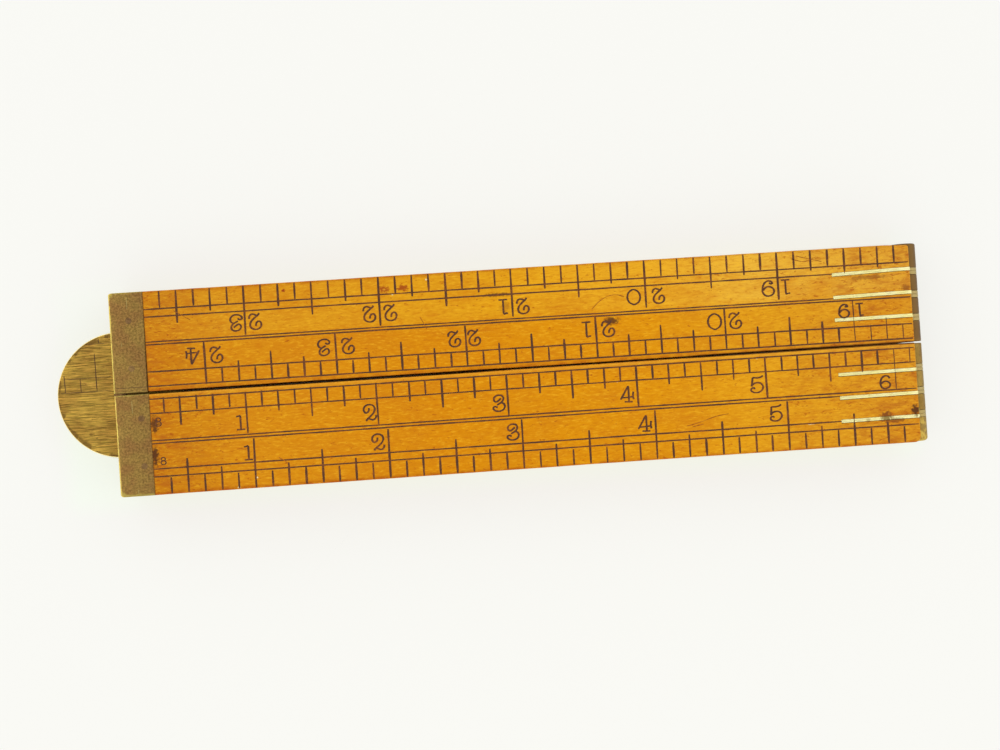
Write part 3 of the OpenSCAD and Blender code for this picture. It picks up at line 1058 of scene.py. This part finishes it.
# Strokes of the punched numerals in millimetres: x from the left edge, y from the foot, 3 mm tall
NUMERALS = {
    "0": (2.55, [[(1.27, 3.0), (0.35, 2.45), (0.02, 1.5), (0.35, 0.5), (1.27, 0.0), (2.2, 0.5),
          (2.53, 1.5), (2.2, 2.45), (1.27, 3.0)]]),
    "1": (1.75, [[(0.0, 2.68), (0.35, 2.7), (0.85, 2.86)], [(0.84, 2.86), (0.9, 0.05)], [(0.05, 0.02),
          (0.9, 0.05), (1.75, 0.06)]]),
    "2": (2.33, [[(1.06, 2.39), (0.99, 1.9), (0.73, 1.57), (0.35, 1.53), (0.06, 1.9), (0.13, 2.5),
          (0.61, 2.92), (1.3, 3.0), (1.93, 2.7), (2.14, 2.08), (1.86, 1.42), (1.24, 0.83), (0.65, 0.36),
          (0.33, -0.03)], [(0.74, 0.46), (1.12, 0.27), (1.6, 0.1), (2.0, 0.24), (2.23, 0.58),
          (2.29, 0.98)]]),
    "3": (2.3, [[(1.62, 2.44), (1.2, 2.08), (0.73, 1.83), (0.36, 2.0), (0.27, 2.45), (0.58, 2.88),
          (1.2, 3.06), (1.83, 2.92), (2.09, 2.45), (1.9, 1.94), (1.44, 1.56), (0.81, 1.25)], [(1.6, 1.68),
          (2.1, 1.38), (2.25, 0.83), (1.91, 0.28), (1.2, 0.03), (0.5, 0.14), (0.08, 0.5), (0.17, 0.88),
          (0.56, 0.93), (0.88, 0.72)]]),
    "4": (2.5, [[(1.6, 3.03), (0.0, 0.53)], [(1.62, 3.03), (1.57, 0.05)], [(0.18, 0.86), (1.2, 0.88),
          (2.4, 0.95)], [(2.5, 1.9), (2.38, 1.1), (2.5, 0.45)], [(0.72, 0.08), (1.5, 0.03), (2.25, 0.0)]]),
    "5": (2.35, [[(2.32, 3.15), (1.8, 2.86), (1.09, 2.78), (0.36, 2.86)], [(0.36, 2.86), (0.27, 1.95),
          (0.12, 1.2)], [(0.12, 1.2), (0.47, 1.65), (1.09, 1.86), (1.85, 1.74), (2.27, 1.17), (2.1, 0.52),
          (1.46, 0.06), (0.62, 0.05), (0.06, 0.38), (0.1, 0.78), (0.5, 0.93), (0.78, 0.7)]]),
    "6": (2.35, [[(2.3, 2.3), (2.0, 2.84), (1.2, 2.98), (0.36, 2.4), (0.04, 1.31), (0.28, 0.37),
          (1.07, 0.0), (2.0, 0.28), (2.29, 0.94), (1.86, 1.55), (1.0, 1.72), (0.28, 1.3)]]),
    "7": (2.3, [[(0.08, 2.35), (0.25, 2.92), (0.8, 2.75), (1.5, 2.8), (2.28, 3.0)], [(2.28, 3.0),
          (1.5, 1.8), (1.0, 0.9), (0.85, 0.0)]]),
    "8": (2.1, [[(1.05, 1.62), (0.42, 1.86), (0.22, 2.3), (0.46, 2.8), (1.05, 3.0), (1.64, 2.8),
          (1.88, 2.3), (1.68, 1.86), (1.05, 1.62)], [(1.05, 1.62), (0.3, 1.34), (0.04, 0.8), (0.34, 0.2),
          (1.05, 0.0), (1.76, 0.2), (2.06, 0.8), (1.8, 1.34), (1.05, 1.62)]]),
    "9": (2.35, [[(0.9, 0.42), (0.62, 0.62), (0.3, 0.55), (0.42, 0.24), (1.06, 0.04), (1.77, 0.38),
          (2.2, 1.17), (2.3, 2.1), (1.84, 2.8), (1.11, 3.0), (0.3, 2.7), (0.02, 2.03), (0.36, 1.42),
          (1.06, 1.16), (1.77, 1.38), (2.14, 1.85)]]),
}
NUMERAL_HEIGHT = 3.0
PEN = 0.165
# The small figures by leg 1's tip were struck with a finer punch
FINE_PEN = 0.1

# Where each leg's end at the pivot lies along the opened rule, counted in legs
LEGS_TO_PIVOT = {1: 0, 2: 2, 3: 2, 4: 4}
# The ticks of the inner edges were struck faintly from these distances past the pivot on
FAINT_FROM = {1: 152.0, 4: 145.0}
FAINT_TICK = 0.55
THIN_ON_BRASS = 0.35


class Face:
    """One face of one leg. Values grow to the right as the face is read."""

    def __init__(self, leg, upper):
        low, high = LEG_Z[leg]
        self.leg = leg
        self.side = SIDE[leg]
        self.right = 1 if leg in (1, 3) else -1
        self.up = self.right if upper else -self.right
        self.at_pivot = LEGS_TO_PIVOT[leg] * LEG_LENGTH
        self.marks = Marks(high, 1) if upper else Marks(low, -1)
        self.plates = [place + lean(leg, i, KNUCKLE_X - PLATE_LENGTH / 2)
                       for i, place in enumerate(plate_places(leg))]

    def from_pivot(self, value):
        """Distance from the pivot of a place this far along the opened rule."""
        return (value - self.at_pivot) * self.right

    def digit(self, text, x, y, height, pen=PEN):
        """A numeral whose middle is at x from the pivot and y from the rule's middle line."""
        width, strokes = NUMERALS[text]
        size = height / NUMERAL_HEIGHT
        turn = math.radians(chance.uniform(-2.5, 2.5))
        for stroke in strokes:
            path = []
            for px, py in smooth_path(stroke):
                dx = (px - width / 2) * size
                dy = (py - NUMERAL_HEIGHT / 2) * size
                rx = dx * math.cos(turn) - dy * math.sin(turn)
                ry = dx * math.sin(turn) + dy * math.cos(turn)
                path.append((PIVOT.x + x + self.right * rx, y + self.up * ry))
            seed = chance.uniform(0, 99)
            halves = []
            for i in range(len(path)):
                dx, dy = heading(path, i)
                steep = abs(dy) / (math.hypot(dx, dy) or 1.0)
                taper = 0.75 if i in (0, len(path) - 1) else 1.0
                halves.append(pen * taper * (0.9 + 0.28 * steep + 0.25 * wander(seed, i * 0.3, 0.5)))
            self.marks.ribbon(path, halves)

    def tick(self, x, start, end, width, slant=0.0):
        """A line across the leg between two distances from the middle; thin where it crosses a plate."""
        if self.leg not in TOP_LEGS and x < HEAD_R:
            end = max(end, math.sqrt((HEAD_R + RELIEF) ** 2 - x * x) + 0.4)
        half = PLATE_HALF + 0.05
        plates = [abs(place) for place in self.plates] if x > LEG_LENGTH - PLATE_LENGTH else []
        edges = [edge for place in plates for edge in (place - half, place + half)]
        stops = [start, end, *[edge for edge in edges if min(start, end) < edge < max(start, end)]]
        stops.sort(reverse=start > end)
        if start < end and x > FAINT_FROM.get(self.leg, LEG_LENGTH):
            width *= FAINT_TICK
        for a, b in zip(stops, stops[1:]):
            on_brass = any(abs((a + b) / 2 - place) < half for place in plates)
            xs = [PIVOT.x + (x + slant * (d - start) / (end - start)) for d in (a, b)]
            self.marks.line((xs[0], self.side * a), (xs[1], self.side * b),
                            width * (THIN_ON_BRASS if on_brass else 1.0), pitch=0.8)

    def long_line(self, distance, width, start, end, drift):
        """A line along the leg at a distance from the middle; drift is its shift at the far end."""
        half = PLATE_HALF + width / 2
        for place in self.plates:
            if abs(abs(place) - distance) < half:
                end = min(end, LEG_LENGTH - PLATE_LENGTH)
        self.marks.line((PIVOT.x + start, self.side * distance),
                        (PIVOT.x + end, self.side * (distance + drift)), width,
                        bow=lambda x: self.side * sway(self.leg, x - PIVOT.x))


ENGLISH_INCH = 25.4
NORWEGIAN_INCH = LEG_LENGTH / 6
SWEDISH_INCH = 24.742
LINE_WIDTH = 0.26
TICK_WIDTH = 0.39
FINE_TICK_WIDTH = 0.2
# How unevenly the ticks of the inch scales were struck
END_SLACK = 0.12
START_SLACK = (-0.04, 0.06)
WIDTH_SLACK = (0.88, 1.12)
PLACE_SLACK = 0.05
# Leg 4's eighths are this much shorter on its outer edge
SHORT_EIGHTH = 0.12
# Where the legs' marks end, as distances from the pivot: on their outer faces, and clear of the rolls
MARKS_END = LEG_LENGTH - 0.35
ROLL_MARKS_END = LEG_LENGTH - ROLL_R - RELIEF - 0.3
# Distances from the rule's middle line: where the ticks of an edge start, how far its inches (8), halves,
# quarters and eighths (1) reach, and where its numerals stand
INNER_EDGE = (1.0, {8: 9.08, 4: 6.65, 2: 5.15, 1: 3.85}, 6.6)
OUTER_EDGE = (OUTER - 0.12, {8: 10.05, 4: 13.1, 2: 15.25, 1: 16.4}, 12.5)
# The same for centimetres (10), halves (5) and millimetres (1), whose numerals keep clear of the roll
CENTIMETRE_TICKS = {10: OUTER_EDGE[1][8] + 0.6, 5: OUTER_EDGE[1][4] + 1.5, 1: 16.9}
CENTIMETRE_NUMERAL_Y = 12.6
CENTIMETRE_NUMERAL_HEIGHT = 2.4
CENTIMETRE_CLEAR = 3.0


def step_size(k, sizes=(8, 4, 2, 1)):
    """The largest of the sizes that divides k, such as 8 for a whole inch and 1 for an eighth."""
    return next(size for size in sizes if k % size == 0)


def write_number(face, number, x, y, gaps, height):
    """One digit stands before its line; two digits stand on either side of it. gaps are to the line."""
    for text, gap, way in zip(str(number), gaps, (-1, 1)):
        width = NUMERALS[text][0] * height / NUMERAL_HEIGHT
        face.digit(text, x + way * face.right * (gap + width / 2), y, height)


def loose_style(y):
    """Gaps, place and height of a numeral that isn't seen in the folded rule from above."""
    gaps = (chance.uniform(0.4, 1.1), chance.uniform(0.5, 1.1))
    return gaps, y + chance.uniform(-0.15, 0.15), NUMERAL_HEIGHT


def leg_4_drift(x):
    """The slow error of the hand-divided scale on the outer edge of leg 4."""
    return 0.09 * ease(20, 35, x) - 0.21 * ease(62, 82, x) + 0.31 * ease(129, 143, x)


def divisions(face, step):
    """First and last whole number of steps on a leg of the opened rule."""
    low, high = sorted((face.at_pivot, face.at_pivot + face.right * LEG_LENGTH))
    return math.ceil(low / step), math.floor(high / step)


def inch_scale(face, inch, edge, limits, styles, error=(0.0, 0.0), last=999):
    """Divides one edge of a face into eighths of an inch and numbers the inches.

    error is what the hand-made scale is off by at the pivot, and per millimetre from there.
    """
    start, reach, numeral_y = edge
    outer = edge == OUTER_EDGE
    first_k, last_k = divisions(face, inch / 8)
    for k in range(first_k, min(last_k, last * 8) + 1):
        x = face.from_pivot(k * inch / 8)
        x += error[0] + error[1] * x
        if outer and face.leg == 4:
            x += leg_4_drift(x)
        if not limits[0] < x < limits[1]:
            continue
        size = step_size(k)
        end = reach[size] + chance.uniform(-END_SLACK, END_SLACK)
        begin = start + chance.uniform(*START_SLACK)
        if outer:
            begin += sway(face.leg, x)
            if size == 1:
                end += sway(face.leg, x) - (SHORT_EIGHTH if face.leg == 4 else 0.0)
            if size == 4 and face.leg == 4 and x > LEG_LENGTH - PLATE_LENGTH:
                end = face.plates[2]
        width = TICK_WIDTH * chance.uniform(*WIDTH_SLACK)
        x += chance.uniform(-PLACE_SLACK, PLACE_SLACK)
        face.tick(x, begin, end, width, slant=face.side * -0.05 * size / 8)
        if size == 8:
            gaps, y, height = styles.get(k // 8) or loose_style(numeral_y)
            write_number(face, k // 8, x, face.side * y, gaps, height)


def centimetre_scale(face, limits):
    """Divides the outer edge of a face into millimetres and numbers the centimetres."""
    first_k, last_k = divisions(face, 1)
    for k in range(first_k, last_k + 1):
        x = face.from_pivot(k)
        if not limits[0] < x < limits[1]:
            continue
        size = step_size(k, (10, 5, 1))
        face.tick(x, OUTER_EDGE[0], CENTIMETRE_TICKS[size], FINE_TICK_WIDTH * chance.uniform(0.9, 1.1))
        if size == 10 and HEAD_R / 2 < x < limits[1] - CENTIMETRE_CLEAR:
            write_number(face, k // 10, x, face.side * CENTIMETRE_NUMERAL_Y, (0.5, 0.5),
                         CENTIMETRE_NUMERAL_HEIGHT)


# Distances of the long lines from the rule's middle line
LINES = (1.18, 4.01, 9.26, 9.81, 14.68, 16.17)
LEG_1_LINES = (1.07, 3.87, 9.16, 9.73, 14.66, 16.18)


def ruled_lines(face, start, end):
    """The long lines of a face."""
    for distance in LEG_1_LINES if face.leg == 1 else LINES:
        drift = chance.uniform(-0.05, 0.05)
        face.long_line(distance, LINE_WIDTH * chance.uniform(0.9, 1.1), start, end, drift)


# Numerals of the two top faces' inner and outer edges: gaps before and after the line, distance from
# the middle line, height
STYLES = {
    1: ({1: ((0.4, 0), 6.9, 2.9), 2: ((0.3, 0), 6.7, 3.1), 3: ((0.6, 0), 6.6, 3.1),
         4: ((0.8, 0), 6.45, 3.1), 5: ((0.6, 0), 6.3, 3.15), 6: ((1.1, 0), 7.5, 2.5)},
        {1: ((0.25, 0), 12.85, 2.9), 2: ((0.8, 0), 12.55, 3.1), 3: ((0.65, 0), 12.4, 3.05),
         4: ((0.8, 0), 12.4, 3.1), 5: ((1.1, 0), 12.15, 3.0)}),
    4: ({19: ((0.5, 0.85), 7.0, 2.6), 20: ((0.8, 0.75), 6.55, 3.1), 21: ((1.15, 1.0), 6.6, 3.1),
         22: ((0.4, 1.1), 6.55, 3.05), 23: ((1.15, 1.1), 6.6, 3.1), 24: ((1.05, 1.0), 6.55, 3.1)},
        {19: ((0.55, 0.85), 12.4, 3.0), 20: ((1.3, 1.1), 12.4, 3.0), 21: ((0.85, 0.95), 12.1, 3.0),
         22: ((0.8, 0.9), 12.5, 3.1), 23: ((0.75, 0.55), 12.5, 3.1)}),
}


def mark_leg(leg):
    """English and Norwegian inches on one face of a leg, Swedish inches and centimetres on the other."""
    on_top = leg in TOP_LEGS
    outside = Face(leg, on_top)
    inside = Face(leg, not on_top)
    inner_start = TIP_REACH + 0.3 if on_top else HEAD_R + 0.8
    outer_start = TIP_REACH + 0.3 if on_top else 0.6
    line_start = TIP_REACH + 0.05 if on_top else HEAD_R + 0.5
    ruled_lines(outside, line_start, MARKS_END)
    ruled_lines(inside, line_start, ROLL_MARKS_END)
    inner_styles, outer_styles = STYLES.get(leg, ({}, {}))
    inch_scale(outside, ENGLISH_INCH, INNER_EDGE, (inner_start, MARKS_END), inner_styles,
               error=(-0.11, 0.0014), last=24)
    inch_scale(outside, NORWEGIAN_INCH, OUTER_EDGE, (outer_start, MARKS_END), outer_styles,
               error=(0.1 if leg == 4 else 0.19, -0.0011))
    inch_scale(inside, SWEDISH_INCH, INNER_EDGE, (inner_start, ROLL_MARKS_END), {})
    centimetre_scale(inside, (outer_start, ROLL_MARKS_END))
    if leg == 1:
        outside.digit("8", 8.2, -5.8, 1.6, FINE_PEN)
        outside.digit("8", 8.7, -13.4, 1.4, FINE_PEN)
    outside.marks.piece(f"leg_{leg}_marks_a", f"leg_{leg}", "boxwood", ink)
    inside.marks.piece(f"leg_{leg}_marks_b", f"leg_{leg}", "boxwood", ink)


for leg in SIDE:
    mark_leg(leg)

# Long scratches and scuffs in the varnish of the two top faces: distance from the pivot, and y
SCRATCHES = {
    1: [[(110.8, -13.5), (113.5, -12.9), (116.5, -12.0), (119.2, -11.6)],
        [(112.0, -13.7), (114.2, -13.3)], [(31.0, -14.2), (32.4, -15.2), (33.0, -16.9)]],
    4: [[(93.8, 10.6), (95.2, 11.9), (97.0, 12.9), (98.8, 13.1), (100.2, 12.6)],
        [(60.2, 11.2), (61.3, 8.9)], [(12.5, 15.6), (15.6, 13.6)],
        [(133.5, 17.9), (136.0, 17.2), (138.5, 18.0)], [(134.5, 18.4), (139.5, 17.0)]],
}
for leg, paths in SCRATCHES.items():
    marks = Marks(TOP, 1)
    for path in paths:
        curve = [(PIVOT.x + x, y) for x, y in smooth_path(path)]
        marks.ribbon(curve, [0.06 + 0.03 * wander(i * 0.4, leg, 3.5) for i in range(len(curve))])
    marks.piece(f"leg_{leg}_scratches", f"leg_{leg}", "boxwood", scuff)


def mark_tip(name, leg, material, *lines):
    """Scribed lines on the upper sheet of a tip: their ends, x from the pivot, and width."""
    marks = Marks(TOP, 1)
    for x0, y0, x1, y1, width in lines:
        marks.line((PIVOT.x + x0, y0), (PIVOT.x + x1, y1), width)
    marks.piece(name, f"leg_{leg}", "tip_brass", material)


mark_tip("leg_4_tip_edge_line", 4, scribe, (0.6, 1.2, TIP_REACH - 0.1, 1.16, 0.12))
mark_tip("leg_4_tip_marks", 4, scratch, (3.57, 18.7, 3.55, 16.4, 0.14), (2.07, 10.2, 2.07, 9.2, 0.1))
mark_tip("leg_1_tip_marks", 1, scratch, (3.33, -1.4, 3.36, -3.8, 0.14), (3.54, -18.6, 3.52, -19.4, 0.12))

# How far the head's ticks reach and where they start, how far its scale runs to either side, the places of
# its lines, and how far these marks keep from the pivot
HEAD_TICKS = {8: 9.1, 4: 8.5, 2: 4.4, 1: 3.6}
HEAD_TICK_START = 1.1
HEAD_SCALE = 11.0
HEAD_LINES = (1.0, 3.7)
CLEAR_OF_RIVET = RIVET_R + 0.4


def mark_head(name, z, out, inch):
    """A scale of leg 3 that carries on across a cheek, and two small scratches."""
    marks = Marks(z, out)
    middle = 2 * LEG_LENGTH
    first_k = math.ceil((middle - HEAD_SCALE) * 8 / inch)
    last_k = math.floor((middle + HEAD_SCALE) * 8 / inch)
    for k in range(first_k, last_k + 1):
        x = k * inch / 8 - middle
        end = min(HEAD_TICKS[step_size(k)], math.sqrt(HEAD_R ** 2 - x * x) - 0.6)
        if abs(x) > CLEAR_OF_RIVET:
            marks.line((PIVOT.x + x, HEAD_TICK_START), (PIVOT.x + x - 0.1, end), 0.17, 0.8)
    for distance in HEAD_LINES:
        half = math.sqrt(HEAD_R ** 2 - distance ** 2) - 0.7
        for a, b in ((-half, -CLEAR_OF_RIVET), (CLEAR_OF_RIVET, half)):
            marks.line((PIVOT.x + a, distance), (PIVOT.x + b, distance + 0.05), 0.11)
    marks.line((PIVOT.x - 6.2, 10.35), (PIVOT.x - 1.0, 10.45), 0.1)
    marks.line((PIVOT.x - 3.7, 10.5), (PIVOT.x - 3.7, 11.3), 0.14, 0.4)
    marks.piece(name, "leg_3", "head_brass", scribe)


mark_head("head_cheek_top_marks", HEAD_TOP, 1, SWEDISH_INCH)
mark_head("head_cheek_bottom_marks", span("head_cheek_bottom")[0].z, -1, ENGLISH_INCH)


# ---- floor, light and camera

def floor_material():
    """A pale lit table that glows, with painted shade where something stands close over it."""
    g = new_graph("pale_table")
    shade = g.noise(g.node("TexCoord", {}, "Object"), 0.9, 2.0)
    # Painted light reflected from the wood tints the table's glow near the rule, most on the side of leg 1
    x, y, z = g.split(g.place())
    past_x = g.most(g.math("SUBTRACT", g.math("ABSOLUTE", x), WOOD_END), 0.0)
    past_y = g.most(g.math("SUBTRACT", g.math("ABSOLUTE", y), OUTER), 0.0)
    away = g.math("SQRT", g.plus(g.math("POWER", past_x, 2.0), g.math("POWER", past_y, 2.0)))
    painted_bounce = g.times(g.remap(away, 6.0, 0.0), g.remap(y, 6.0, -6.0, 0.4, 1.0))
    # Painted contact shade: the glow fades where something stands within 0.8 mm over it
    near = g.node("AmbientOcclusion", {"Distance": 0.8 * MM}, 1, samples=8)
    return g.finish(
        Base_Color=g.mix(g.remap(shade, 0.3, 0.7), (0.2, 0.2, 0.195, 1), (0.21, 0.21, 0.2, 1)),
        Roughness=0.8,
        Specular_IOR_Level=0.1,
        Emission_Color=g.mix(painted_bounce, (1.0, 1.0, 0.96, 1.0), (0.99, 1.05, 0.945, 1.0)),
        Emission_Strength=g.times(near, 0.72),
    )


# Half the length of the floor's side, and how far it lies under the rule, in metres
FLOOR_HALF = 3.0
FLOOR_GAP = 0.00002


def make_floor():
    mesh = bpy.data.meshes.new("floor")
    corners = [(-FLOOR_HALF, -FLOOR_HALF), (FLOOR_HALF, -FLOOR_HALF), (FLOOR_HALF, FLOOR_HALF),
               (-FLOOR_HALF, FLOOR_HALF)]
    mesh.from_pydata([(x, y, cad_box[0].z - FLOOR_GAP) for x, y in corners], [], [(0, 1, 2, 3)])
    mesh.materials.append(floor_material())
    floor = bpy.data.objects.new("floor", mesh)
    bpy.context.scene.collection.objects.link(floor)


# Brightness of the light tent by how steeply a direction rises, from 0 for level to 1 for straight up
TENT = ((0.0, 1.0), (0.5, 1.0), (0.84, 0.34), (0.94, 0.17))


def make_light():
    """A light tent: bright all round and dimmer straight overhead."""
    world = bpy.data.worlds.new("light_tent")
    g = Graph(world)
    x, y, z = g.split(g.node("TexCoord", {}, "Generated"))
    stops = [(position, (level, 0.995 * level, 0.975 * level, 1.0)) for position, level in TENT]
    background = g.tree.nodes["Background"]
    g.put(background.inputs[0], g.ramp(z, stops))
    background.inputs[1].default_value = 1.85
    bpy.context.scene.world = world


# The camera hangs over the left half of the rule and looks almost straight down
CAMERA_PLACE = Vector((69.467, -2.244, 249.898))
CAMERA_AIM = Vector((75.084, -1.173, 0.0))
CAMERA_ROLL = math.radians(3.798)
CAMERA_LENS = 46.08
HALF_PIXEL = 0.0005


def make_camera():
    data = bpy.data.cameras.new("camera")
    data.lens = CAMERA_LENS
    data.sensor_width = 36.0
    data.shift_x = -HALF_PIXEL
    data.shift_y = HALF_PIXEL
    data.clip_start = 0.01
    data.clip_end = 20.0
    camera = bpy.data.objects.new("camera", data)
    bpy.context.scene.collection.objects.link(camera)
    origin = Vector((PIVOT.x, 0.0, TOP))
    back = (CAMERA_PLACE - CAMERA_AIM).normalized()
    right = Vector((math.cos(CAMERA_ROLL), -math.sin(CAMERA_ROLL), 0.0))
    right = (right - back * right.dot(back)).normalized()
    turn = Matrix((right, back.cross(right), back)).transposed().to_4x4()
    camera.matrix_world = Matrix.Translation((origin + CAMERA_PLACE) * MM) @ turn
    bpy.context.scene.camera = camera


make_floor()
make_light()
make_camera()
bpy.context.scene.view_settings.view_transform = "Standard"
